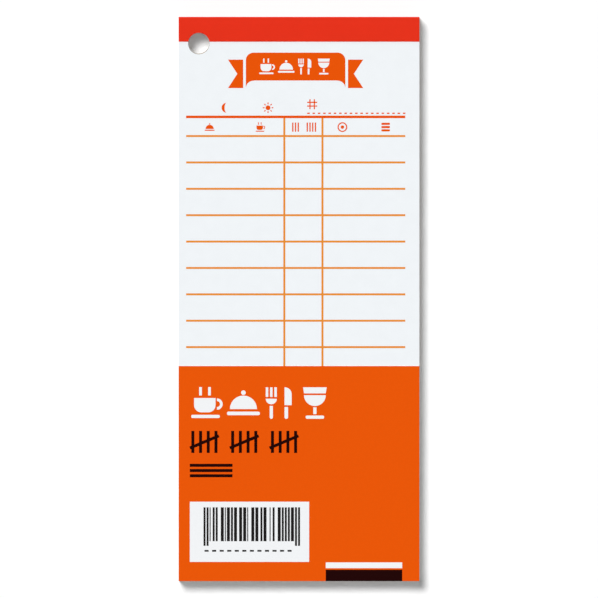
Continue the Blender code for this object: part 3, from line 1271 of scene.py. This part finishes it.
class CHECKPAD_OT_title_slip(PadOperator, bpy.types.Operator):
    """Cuts the title slip, floods its face with colour and prints it"""

    bl_idname = "check_pad.title_slip"
    bl_label = "Title Slip"

    def model(self, pad):
        slip, paper, colours = pad.slip, pad.paper, pad.colours
        low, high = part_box("title_slip")
        piece = slab("pasted_slip", low, high, high.z - low.z)
        piece.data.materials.append(material("slip_flood", flood_finish, colours.slip))
        piece.data.materials.append(material("slip_core", paper_finish, colours.paper))
        for face in piece.data.polygons:
            face.material_index = 0 if face.normal.z > FACE_SLOPE else 1
        with inking("slip_white", high.z, paper, printing_ink("pale_ink", colours.slip_white)) as white:
            draw_pale_marks(white, slip)
        dark_ink = printing_ink("dark_ink", colours.slip_dark)
        with inking("slip_dark", high.z, paper, dark_ink) as dark:
            draw_dark_marks(dark, slip, foot=CAD_HIGH.y - low.y)
        with inking("slip_slashes", high.z + paper.ink, paper, dark_ink) as slashes:
            draw_slashes(slashes, slip)
        label_ink = printing_ink("label_ink", colours.label_black)
        with inking("slip_bars", high.z + paper.ink, paper, label_ink) as bars:
            draw_label_bars(bars, slip)
        join(piece, *(plate.piece for plate in (white, dark, slashes, bars)))
        SheetMap(piece, 0.0, SHEET_STRIP, HIDDEN_BACK)
        settle(piece, "cover", "slip_paper", "title_slip")


class CHECKPAD_OT_stage(PadOperator, bpy.types.Operator):
    """Lays the floor, lights the pad and hangs the camera over it"""

    bl_idname = "check_pad.stage"
    bl_label = "Stage"

    def model(self, pad):
        stage = pad.stage
        bpy.context.scene.view_settings.view_transform = "Standard"
        half = Vector((stage.floor_side / 2, stage.floor_side / 2, 0.0))
        floor = new_plane("studio_floor", -half, half, CAD_LOW.z - stage.floor_drop)
        floor.data.materials.append(material("floor", floor_finish, pad.colours.floor, stage))
        self.key_light(stage)
        self.surroundings(stage)
        self.camera(stage)

    def key_light(self, stage):
        rest_selection()
        lean = math.sin(stage.key_tilt)
        across, along = math.cos(stage.key_turn) * lean, math.sin(stage.key_turn) * lean
        way = Vector((across, -along, -math.cos(stage.key_tilt)))
        bpy.ops.object.light_add(type="SUN", rotation=way.to_track_quat("-Z", "Y").to_euler())
        key = named(bpy.context.object, "key_light")
        key.data.energy = stage.key
        key.data.angle = stage.key_size

    def surroundings(self, stage):
        """A white background, which lights the pad from all round, most of all from the horizon."""
        world = bpy.data.worlds.new("studio")
        bpy.context.scene.world = world
        finish = Finish(world)
        way_up = finish.node("ShaderNodeTexCoord", output="Generated")
        height = finish.node("ShaderNodeSeparateXYZ", sockets={"Vector": way_up}, output="Z")
        upper = stage.ambient + (1.0 - finish.fade(height, 0.0, stage.glow_top)) * stage.glow
        above = finish.fade(height, -HORIZON, HORIZON)
        around = above * upper + (1.0 - above) * stage.under
        seen = finish.seen()
        white = {"Color": WHITE, "Strength": seen + (1.0 - seen) * around}
        background = finish.node("ShaderNodeBackground", sockets=white)
        finish.node("ShaderNodeOutputWorld", sockets={"Surface": background})

    def camera(self, stage):
        rest_selection()
        place = (CAD_LOW + CAD_HIGH) / 2
        place.z = stage.camera_height
        bpy.ops.object.camera_add(location=place, rotation=(0.0, 0.0, 0.0))
        camera = named(bpy.context.object, "camera")
        camera.data.sensor_width = stage.sensor
        camera.data.lens = stage.sensor * (stage.camera_height - COVER_HIGH.z) / stage.frame_width
        bpy.context.scene.camera = camera


OPERATORS = (
    CHECKPAD_OT_form_print,
    CHECKPAD_OT_backing_board,
    CHECKPAD_OT_sheet_block,
    CHECKPAD_OT_padding_glue,
    CHECKPAD_OT_binding_tape,
    CHECKPAD_OT_checks,
    CHECKPAD_OT_cover,
    CHECKPAD_OT_title_slip,
    CHECKPAD_OT_stage,
)


class CHECKPAD_PT_panel(bpy.types.Panel):
    """Lists the pad's pieces and the settings they are made from"""

    bl_idname = "CHECKPAD_PT_panel"
    bl_label = "Guest Check Pad"
    bl_space_type = "VIEW_3D"
    bl_region_type = "UI"
    bl_category = "Check Pad"

    def draw(self, context):
        for operator in OPERATORS:
            self.layout.operator(operator.bl_idname)
        pad = context.scene.check_pad
        for group in (pad.colours, pad.paper, pad.form, pad.ribbon, pad.slip, pad.stage):
            box = self.layout.box()
            for name in group.__annotations__:
                box.prop(group, name)


CLASSES = (
    CHECKPAD_PG_colours,
    CHECKPAD_PG_paper,
    CHECKPAD_PG_form,
    CHECKPAD_PG_ribbon,
    CHECKPAD_PG_slip,
    CHECKPAD_PG_stage,
    CHECKPAD_PG_settings,
    *OPERATORS,
    CHECKPAD_PT_panel,
)


def register():
    for kind in CLASSES:
        bpy.utils.register_class(kind)
    bpy.types.Scene.check_pad = PointerProperty(type=CHECKPAD_PG_settings)


def unregister():
    del bpy.types.Scene.check_pad
    for kind in reversed(CLASSES):
        bpy.utils.unregister_class(kind)


def main():
    register()
    bpy.ops.check_pad.form_print()
    bpy.ops.check_pad.backing_board()
    bpy.ops.check_pad.sheet_block()
    bpy.ops.check_pad.padding_glue()
    bpy.ops.check_pad.binding_tape()
    bpy.ops.check_pad.checks()
    bpy.ops.check_pad.cover()
    bpy.ops.check_pad.title_slip()
    bpy.ops.check_pad.stage()


if __name__ == "__main__":
    main()
